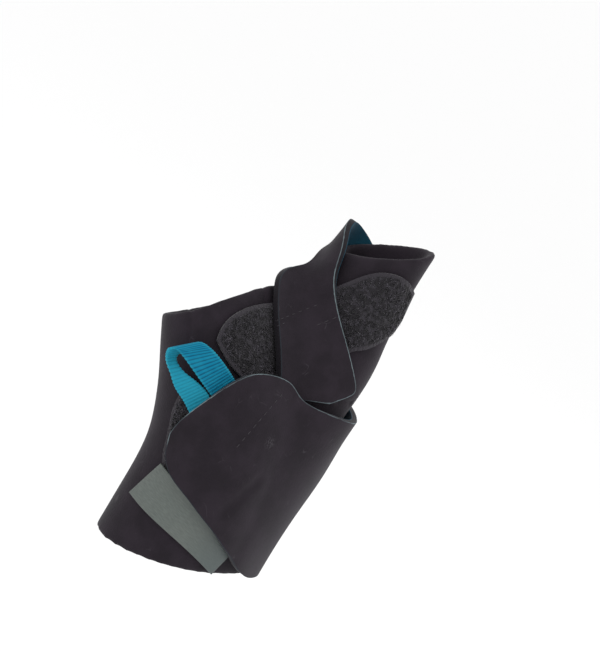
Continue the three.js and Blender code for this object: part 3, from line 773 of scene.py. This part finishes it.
def neoprene_material(name, line_width, sheen):
    material, nodes, shader = new_material(name)
    grain = nodes.add("ShaderNodeGroup", node_tree=jersey)
    fluff = nodes.add("ShaderNodeGroup", node_tree=lint)
    depth = nodes.attribute("depth")
    edge = nodes.attribute("edge")
    tone = nodes.ramp(grain.outputs["Tone"], 0.3, 0.7)
    face = nodes.mix(tone, JERSEY_DARK, JERSEY_LIGHT)
    face = nodes.mix(fluff.outputs["Mask"], face, LINT_PALE)
    dusty = nodes.math("MULTIPLY", nodes.attribute("smudge"), nodes.ramp(grain.outputs["Height"], 0.3, 0.8))
    face = nodes.mix(nodes.math("MULTIPLY", dusty, 0.5), face, LINT_PALE)
    wobble = nodes.add("ShaderNodeTexNoise", {"Scale": 700.0, "Detail": 2.0},
                       {"Vector": nodes.add("ShaderNodeTexCoord").outputs["Object"]})
    reach = nodes.math("MULTIPLY_ADD", wobble.outputs["Fac"], line_width)
    reach.node.inputs[2].default_value = line_width * 0.5
    line = nodes.math("LESS_THAN", edge, reach)
    patchy = nodes.add("ShaderNodeTexNoise", {"Scale": 70.0, "Detail": 1.0},
                       {"Vector": nodes.add("ShaderNodeTexCoord").outputs["Object"]})
    # Painted highlight: the cut line is painted pale towards the higher side, in patches, and keeps the dark
    # cut colour elsewhere.
    lit = nodes.math("MULTIPLY", nodes.ramp(nodes.attribute("side"), 0.25, 0.7),
                     nodes.ramp(patchy.outputs["Fac"], 0.25, 0.6))
    cut = nodes.mix(lit, CUT_DARK, CUT_PAINTED_HIGHLIGHT)
    lining = nodes.mix(tone, LINING_DARK, LINING)
    foam = nodes.ramp(depth, 0.12, 0.2)
    under = nodes.ramp(depth, 0.84, 0.9)
    if line_width:
        # Painted shade: near the strap's lower edge the lining is left out, so that edge of the cut stays dark.
        under = nodes.math("MULTIPLY", under, nodes.ramp(nodes.attribute("side"), 0.0, 0.08))
    colour = nodes.mix(foam, face, FOAM)
    colour = nodes.mix(under, colour, lining)
    colour = nodes.mix(line, colour, cut)
    nodes.tree.links.new(colour, shader.inputs["Base Color"])
    rough = nodes.add("ShaderNodeMapRange", {"To Min": 0.72, "To Max": 0.9}, {"Value": grain.outputs["Tone"]})
    nodes.tree.links.new(rough.outputs["Result"], shader.inputs["Roughness"])
    shader.inputs["Specular IOR Level"].default_value = 0.15
    shader.inputs["Sheen Weight"].default_value = sheen
    shader.inputs["Sheen Roughness"].default_value = 0.45
    shader.inputs["Sheen Tint"].default_value = (0.9, 0.9, 0.95, 1)
    bump_on(nodes, shader, grain.outputs["Height"], 0.5, 0.00012)
    return material


neoprene_sleeve = neoprene_material("neoprene_sleeve", 0.0, 0.08)
neoprene_strap = neoprene_material("neoprene_strap", 0.3 * MM, 0.08)
sleeve.data.materials.append(neoprene_sleeve)
thumb_strap.data.materials.append(neoprene_strap)
wrist_strap.data.materials.append(neoprene_strap)

# %% Other finishes
PILE_DARK = linear(18, 14, 21)
PILE_LIGHT = linear(72, 68, 77)
PILE_BORDER = linear(40, 36, 43)
RIBBON_BLUE = linear(0, 118, 152)
# Deeper blue for painted shade in the rib valleys.
RIBBON_VALLEY_SHADE = linear(0, 80, 108)
RIBBON_PALE = linear(40, 158, 180)
SATIN_GREY = linear(88, 97, 92)
SATIN_DARK = linear(72, 80, 77)
SATIN_WARM = linear(128, 126, 122)
# Darker colour for painted shade at one end of the label.
SATIN_END_SHADE = linear(62, 74, 76)
HOOK_BLACK = linear(34, 34, 38)
HOOK_GREY = linear(58, 58, 62)
THREAD = linear(54, 50, 56)
THREAD_DARK = linear(38, 34, 40)


def pile_material():
    material, nodes, shader = new_material("loop_pile")
    place = nodes.add("ShaderNodeTexCoord").outputs["Object"]
    clumps = nodes.add("ShaderNodeTexVoronoi", {"Scale": 1100.0}, {"Vector": place})
    coarse = nodes.add("ShaderNodeTexNoise", {"Scale": 620.0, "Detail": 1.0}, {"Vector": place})
    border = nodes.math("SUBTRACT", 1.0, nodes.ramp(nodes.attribute("edge"), 1.1 * MM, 1.6 * MM))
    tip = nodes.attribute("tip")
    clump = nodes.ramp(coarse.outputs["Fac"], 0.48, 0.62)
    # Painted shade: each arch is painted darker at its root and paler at its top, where the pile shades its own
    # roots; random clumps vary the tone as well.
    painted_tip_light = nodes.math("ADD", 0.25, nodes.math("MULTIPLY", tip, 0.75))
    shade = nodes.math("MULTIPLY", painted_tip_light, clump, clamp=True)
    colour = nodes.mix(shade, PILE_DARK, PILE_LIGHT)
    colour = nodes.mix(border, colour, PILE_BORDER)
    nodes.tree.links.new(colour, shader.inputs["Base Color"])
    shader.inputs["Roughness"].default_value = 0.85
    shader.inputs["Sheen Weight"].default_value = 0.15
    bump_on(nodes, shader, clumps.outputs["Distance"], 0.8, 0.0004)
    return material


def ribbon_material():
    material, nodes, shader = new_material("grosgrain")
    lay = nodes.add("ShaderNodeUVMap", uv_map="lay").outputs["UV"]
    stretched = nodes.add("ShaderNodeMapping", {"Scale": (1.0, 0.35, 1.0)}, {"Vector": lay})
    yarn = nodes.add("ShaderNodeTexNoise", {"Scale": 2600.0, "Detail": 2.0}, {"Vector": stretched.outputs[0]})
    patches = nodes.add("ShaderNodeTexNoise", {"Scale": 260.0, "Detail": 2.0}, {"Vector": lay})
    # Painted shade: the valleys between the ribs are painted deeper blue, and the rib tops keep the plain blue.
    rib = nodes.ramp(nodes.attribute("rib"), 0.15, 0.8)
    colour = nodes.mix(rib, RIBBON_VALLEY_SHADE, RIBBON_BLUE)
    warm = nodes.math("MULTIPLY", nodes.ramp(patches.outputs["Fac"], 0.4, 0.7), 0.18)
    colour = nodes.mix(warm, colour, RIBBON_PALE)
    # Painted light: the second half of the ribbon along its length is painted paler.
    paler = nodes.math("MULTIPLY", nodes.ramp(nodes.attribute("along"), 0.4, 0.6), 0.5)
    colour = nodes.mix(paler, colour, RIBBON_PALE)
    picot = nodes.math("MULTIPLY", nodes.attribute("picot"), 0.55)
    colour = nodes.mix(picot, colour, RIBBON_PALE)
    nodes.tree.links.new(colour, shader.inputs["Base Color"])
    shader.inputs["Roughness"].default_value = 0.7
    shader.inputs["Specular IOR Level"].default_value = 0.15
    shader.inputs["Sheen Weight"].default_value = 0.08
    shader.inputs["Sheen Tint"].default_value = (0.3, 0.8, 1.0, 1)
    bump_on(nodes, shader, yarn.outputs["Fac"], 0.5, 0.0001)
    return material


def satin_material():
    material, nodes, shader = new_material("label_satin")
    lay = nodes.add("ShaderNodeUVMap", uv_map="lay").outputs["UV"]
    stretched = nodes.add("ShaderNodeMapping", {"Scale": (0.12, 1.0, 1.0)}, {"Vector": lay})
    yarn = nodes.add("ShaderNodeTexNoise", {"Scale": 3800.0, "Detail": 3.0}, {"Vector": stretched.outputs[0]})
    broad = nodes.add("ShaderNodeTexNoise", {"Scale": 70.0, "Detail": 2.0}, {"Vector": lay})
    colour = nodes.mix(nodes.ramp(yarn.outputs["Fac"], 0.3, 0.7), SATIN_DARK, SATIN_GREY)
    # Painted shade: the label is painted darker towards one end.
    darker = nodes.ramp(nodes.math("SUBTRACT", 1.0, nodes.attribute("along")), 0.5, 1.0)
    colour = nodes.mix(nodes.math("MULTIPLY", broad.outputs["Fac"], 0.2), colour, SATIN_WARM)
    colour = nodes.mix(nodes.math("MULTIPLY", darker, 0.6), colour, SATIN_END_SHADE)
    nodes.tree.links.new(colour, shader.inputs["Base Color"])
    shader.inputs["Roughness"].default_value = 0.42
    bump_on(nodes, shader, yarn.outputs["Fac"], 0.35, 0.00008)
    return material


def hook_material():
    material, nodes, shader = new_material("hook_tape")
    lay = nodes.add("ShaderNodeUVMap", uv_map="lay").outputs["UV"]
    dots = nodes.add("ShaderNodeTexVoronoi", {"Scale": 900.0, "Randomness": 0.1}, {"Vector": lay})
    colour = nodes.mix(nodes.ramp(dots.outputs["Distance"], 0.1, 0.5), HOOK_GREY, HOOK_BLACK)
    nodes.tree.links.new(colour, shader.inputs["Base Color"])
    shader.inputs["Roughness"].default_value = 0.5
    bump_on(nodes, shader, nodes.math("SUBTRACT", 1.0, dots.outputs["Distance"]), 0.8, 0.0004)
    return material


def thread_material():
    material, nodes, shader = new_material("sewing_thread")
    place = nodes.add("ShaderNodeTexCoord").outputs["Object"]
    twist = nodes.add("ShaderNodeTexNoise", {"Scale": 4000.0, "Detail": 2.0}, {"Vector": place})
    colour = nodes.mix(twist.outputs["Fac"], THREAD_DARK, THREAD)
    nodes.tree.links.new(colour, shader.inputs["Base Color"])
    shader.inputs["Roughness"].default_value = 0.7
    bump_on(nodes, shader, twist.outputs["Fac"], 0.5, 0.00005)
    return material


pile = pile_material()
for patch in (thumb_pile, wrist_pile):
    patch.data.materials.append(pile)
hook_tape = hook_material()
for tape in (thumb_hooks, wrist_hooks):
    tape.data.materials.append(hook_tape)
ribbon.data.materials.append(ribbon_material())
label.data.materials.append(satin_material())
thread = thread_material()
print("materials", [m.name for m in bpy.data.materials])

# %% [markdown]
# Loop pile is thousands of small soft arches of yarn. One arch is spun from a triangle and copied over the
# patch with numpy, each turned and leaned by a seeded draw. Arches are left out on the sewn border, and
# where a strap lies so close above the patch that it presses them flat. A few long thin arches are drawn
# out of the pile, because hooks have pulled at it.

# %% Grow the loop pile
YARNS = [
    {"radius": 0.4 * MM, "yarn": 0.1 * MM, "per_mm2": 1.7, "lean": 0.5, "steps": 5},
    {"radius": 0.95 * MM, "yarn": 0.035 * MM, "per_mm2": 0.1, "lean": 0.8, "steps": 9},
]
LOOP_SIZES = (0.75, 1.35)
SMALL_SHARE = 0.002
COVER_START = 0.05 * MM
LOOP_BORDER = 1.4 * MM
COVER_GAP = 2.4 * MM


def one_arch(radius, yarn, steps):
    """Corners and faces of a half ring of yarn, standing on the ground."""
    bm = bmesh.new()
    ring = bmesh.ops.create_circle(bm, segments=3, radius=yarn)
    bmesh.ops.translate(bm, verts=bm.verts, vec=(radius, 0, 0))
    edges = [e for e in bm.edges]
    quarter = Matrix.Rotation(math.pi / 2, 3, "X")
    for centre in ((radius, 0, 0), (0, 0, 0)):
        bmesh.ops.rotate(bm, verts=ring["verts"], cent=centre, matrix=quarter)
    bmesh.ops.spin(
        bm, geom=edges, cent=(0, 0, 0), axis=(0, 1, 0), angle=-math.pi, steps=steps, use_merge=False
    )
    bmesh.ops.recalc_face_normals(bm, faces=bm.faces)
    bm.verts.index_update()
    points = np.array([v.co[:] for v in bm.verts])
    faces = np.array([[v.index for v in f.verts] for f in bm.faces])
    bm.free()
    return points, faces


def copies(name, points, faces, frames, tips):
    """One mesh of many copies: frames is an array of 3 by 4 matrices."""
    placed = np.einsum("nij,pj->npi", frames[:, :, :3], points) + frames[:, None, :, 3]
    count = len(points)
    corners = (faces[None] + count * np.arange(len(frames))[:, None, None]).reshape(-1, faces.shape[1])
    mesh = bpy.data.meshes.new(name)
    mesh.from_pydata(placed.reshape(-1, 3), [], corners)
    tip = mesh.attributes.new("tip", "FLOAT", "POINT")
    tip.data.foreach_set("value", np.tile(tips, len(frames)).astype(np.float32))
    edge = mesh.attributes.new("edge", "FLOAT", "POINT")
    edge.data.foreach_set("value", np.ones(len(placed) * count, np.float32))
    mesh.polygons.foreach_set("use_smooth", np.ones(len(mesh.polygons), bool))
    mesh.update()
    piece = bpy.data.objects.new(name, mesh)
    bpy.context.scene.collection.objects.link(piece)
    return piece


def ground(rows, along, across):
    """Points on rows with their normals."""
    here = on_rows(rows, along, across)
    ahead, behind = np.clip(along + SMALL_SHARE, 0, 1), np.clip(along - SMALL_SHARE, 0, 1)
    higher, lower = np.clip(across + SMALL_SHARE, 0, 1), np.clip(across - SMALL_SHARE, 0, 1)
    du = on_rows(rows, ahead, across) - on_rows(rows, behind, across)
    dv = on_rows(rows, along, higher) - on_rows(rows, along, lower)
    normal = np.cross(du, dv)
    normal /= np.linalg.norm(normal, axis=1)[:, None]
    return here, normal


def outward_normals(rows, under, here, normal, along, across):
    away = here - on_rows(under, along, across)
    sign = np.sign((normal * away).sum(1))
    return normal * sign[:, None]


def standing_frames(rng, here, normal, turn, lean, size):
    """Matrices that stand a copy on each point, turned and leaned by seeded draws."""
    frames = np.zeros((len(here), 3, 4))
    for i, (point, up_way) in enumerate(zip(here, normal)):
        basis = Vector(up_way).to_track_quat("Z", "Y").to_matrix()
        turned = Matrix.Rotation(rng.uniform(0, turn), 3, "Z")
        spun = basis @ turned @ Matrix.Rotation(rng.normal(0, lean), 3, "X")
        frames[i, :, :3] = np.array(spun) * rng.uniform(*size)
        frames[i, :, 3] = point
    return frames


def grow_pile(name, node, seed, covers, kind):
    upper, under = slab_rows(node)
    length, width = size_of(upper)
    rng = np.random.default_rng(seed)
    count = int(length * width / MM**2 * kind["per_mm2"])
    along, across = rng.random(count), rng.random(count)
    here, normal = ground(upper, along, across)
    normal = outward_normals(upper, under, here, normal, along, across)
    outline = sampled_outline(upper)
    border = KDTree(len(outline))
    for i, point in enumerate(outline):
        border.insert(point, i)
    border.balance()
    keep = []
    for i in range(count):
        if border.find(here[i])[2] < LOOP_BORDER:
            continue
        start = Vector(here[i]) + Vector(normal[i]) * COVER_START
        if any(tree.ray_cast(start, Vector(normal[i]), COVER_GAP)[0] is not None for tree in covers):
            continue
        keep.append(i)
    points, faces = one_arch(kind["radius"], kind["yarn"], kind["steps"])
    frames = standing_frames(rng, here[keep], normal[keep], math.tau, kind["lean"], LOOP_SIZES)
    tips = np.clip(points[:, 2] / (kind["radius"] + kind["yarn"]), 0, 1)
    piece = copies(name, points, faces, frames, tips)
    piece.data.materials.append(pile)
    print(f"{name}: {len(keep)} arches")
    return piece


strap_trees = [tree_of(thumb_strap), tree_of(wrist_strap), tree_of(ribbon)]
thumb_loops = grow_pile("thumb_pile_loops", "thumb_pile_patch", 11, strap_trees, YARNS[0])
wrist_loops = grow_pile("wrist_pile_loops", "wrist_pile_patch", 12, strap_trees, YARNS[0])
thumb_strays = grow_pile("thumb_pile_strays", "thumb_pile_patch", 13, strap_trees, YARNS[1])
wrist_strays = grow_pile("wrist_pile_strays", "wrist_pile_patch", 14, strap_trees, YARNS[1])

# %% [markdown]
# Lockstitch shows as short dashes of thread that sink a little into the foam. Each row is drawn between two
# points of the photograph, found on the strap by sight lines, and walked in steps of one stitch.

# %% Sew the stitches
STITCH_LENGTH = 1.9 * MM
STITCH_GAP = 1.1 * MM
WALK_POINTS = 200
THREAD_RADIUS = 0.17 * MM
STITCH_ROWS = [
    {"on": "thumb", "from": (273, 322), "to": (317, 305)},
    {"on": "thumb", "from": (275, 327), "to": (287, 322)},
    {"on": "thumb", "from": (315, 326), "to": (337, 317)},
    {"on": "wrist", "from": (283, 393), "to": (237, 447)},
]


def one_stitch():
    bm = bmesh.new()
    bmesh.ops.create_uvsphere(bm, u_segments=6, v_segments=5, radius=THREAD_RADIUS)
    stretch = STITCH_LENGTH / (2 * THREAD_RADIUS)
    bmesh.ops.scale(bm, verts=bm.verts, vec=(stretch, 1, 1))
    bmesh.ops.triangulate(bm, faces=bm.faces)
    bm.verts.index_update()
    points = np.array([v.co[:] for v in bm.verts])
    faces = np.array([[v.index for v in f.verts] for f in bm.faces])
    bm.free()
    return points, faces


def walk(tree, start, end):
    """Places a stitch apart on the surface between two pixels, with their normals."""
    first, last = Vector(start), Vector(end)
    seen = [seen_at(tree, first.lerp(last, k / WALK_POINTS)) for k in range(WALK_POINTS + 1)]
    seen = [(p, n) for p, n in seen if p is not None]
    pitch = STITCH_LENGTH + STITCH_GAP
    places = []
    travelled = pitch / 2
    for (a, n), (b, _) in zip(seen, seen[1:]):
        travelled += (b - a).length
        if travelled >= pitch:
            travelled -= pitch
            places.append((a, n, (b - a).normalized()))
    return places


def sew(name, tree, rows):
    frames = []
    for row in rows:
        for place, normal, way in walk(tree, row["from"], row["to"]):
            side = normal.cross(way).normalized()
            matrix = np.zeros((3, 4))
            matrix[:, 0], matrix[:, 1], matrix[:, 2], matrix[:, 3] = way, side, normal, place
            frames.append(matrix)
    points, faces = one_stitch()
    piece = copies(name, points, faces, np.array(frames), np.zeros(len(points)))
    piece.data.materials.append(thread)
    print(f"{name}: {len(frames)} stitches")
    return piece


thumb_stitches = sew("thumb_strap_stitches", strap_trees[0], [r for r in STITCH_ROWS if r["on"] == "thumb"])
wrist_stitches = sew("wrist_strap_stitches", strap_trees[1], [r for r in STITCH_ROWS if r["on"] == "wrist"])

# %% [markdown]
# Last, every piece is tied to the one body, and the model parts that the sleeve and laid pieces replace are
# hidden. The splint has no joints, so everything rides on the one body.
# The straps, the ribbon and the label were cut flat before they were wrapped, and the sleeve is a foam piece.

# %% Tie the pieces to the frame
PIECES = [
    {"piece": sleeve, "node": "sleeve", "slot": "neoprene"},
    {"piece": thumb_strap, "node": "thumb_strap", "slot": "neoprene"},
    {"piece": wrist_strap, "node": "wrist_strap", "slot": "neoprene"},
    {"piece": thumb_pile, "node": "thumb_pile_patch", "slot": "pile"},
    {"piece": wrist_pile, "node": "wrist_pile_patch", "slot": "pile"},
    {"piece": thumb_hooks, "node": "thumb_hook_tab", "slot": "hook_tape"},
    {"piece": wrist_hooks, "node": "wrist_hook_tab", "slot": "hook_tape"},
    {"piece": ribbon, "node": "pull_loop", "slot": "ribbon"},
    {"piece": label, "node": "label", "slot": "label_satin"},
    {"piece": thumb_loops, "node": None, "slot": "pile"},
    {"piece": wrist_loops, "node": None, "slot": "pile"},
    {"piece": thumb_strays, "node": None, "slot": "pile"},
    {"piece": wrist_strays, "node": None, "slot": "pile"},
    {"piece": thumb_stitches, "node": None, "slot": "neoprene"},
    {"piece": wrist_stitches, "node": None, "slot": "neoprene"},
]
for row in PIECES:
    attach(row["piece"], "root")
    if row["node"]:
        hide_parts(row["node"])
